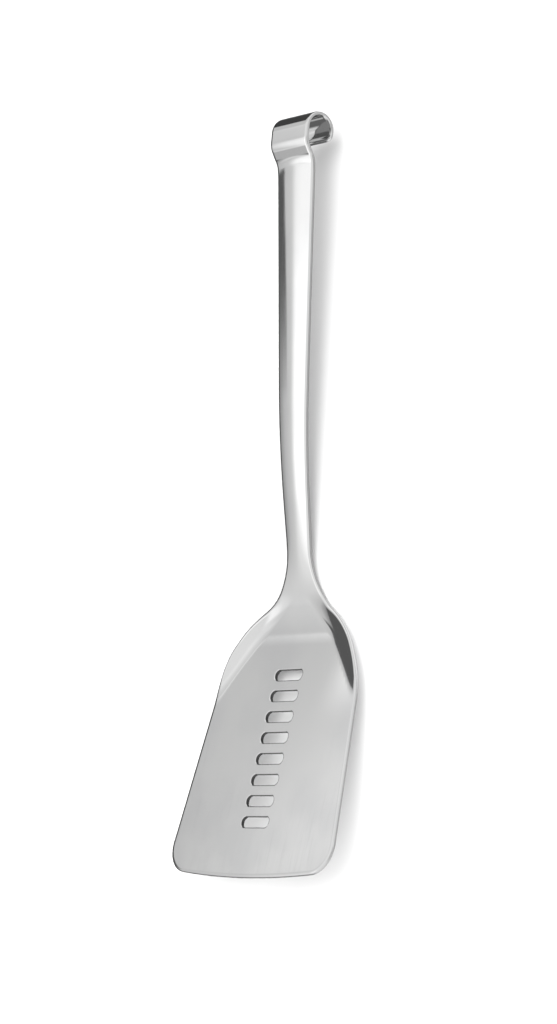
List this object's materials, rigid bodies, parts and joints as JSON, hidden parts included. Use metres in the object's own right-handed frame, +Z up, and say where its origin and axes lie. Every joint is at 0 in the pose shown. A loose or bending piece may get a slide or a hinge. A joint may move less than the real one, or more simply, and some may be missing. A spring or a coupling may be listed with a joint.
{
  "type": "serving spatula",
  "caption": "Slotted serving spatula pressed from one steel sheet: a flared blade with a row of drain slots, a raised neck and a slim handle rolled into an open hanging loop.",
  "frame": {"origin": "centre of the bounding box in plan, at the surface it lies on", "axes": "+Y from the blade's tip to the hanging loop, +X across the blade, +Z up"},
  "size_m": [0.1144, 0.3546, 0.0273],
  "materials": {
    "steel": "stainless steel with a soft polish, cut edges slightly brighter"
  },
  "bodies": {
    "root": {"spatula": "steel"}
  },
  "joints": []
}
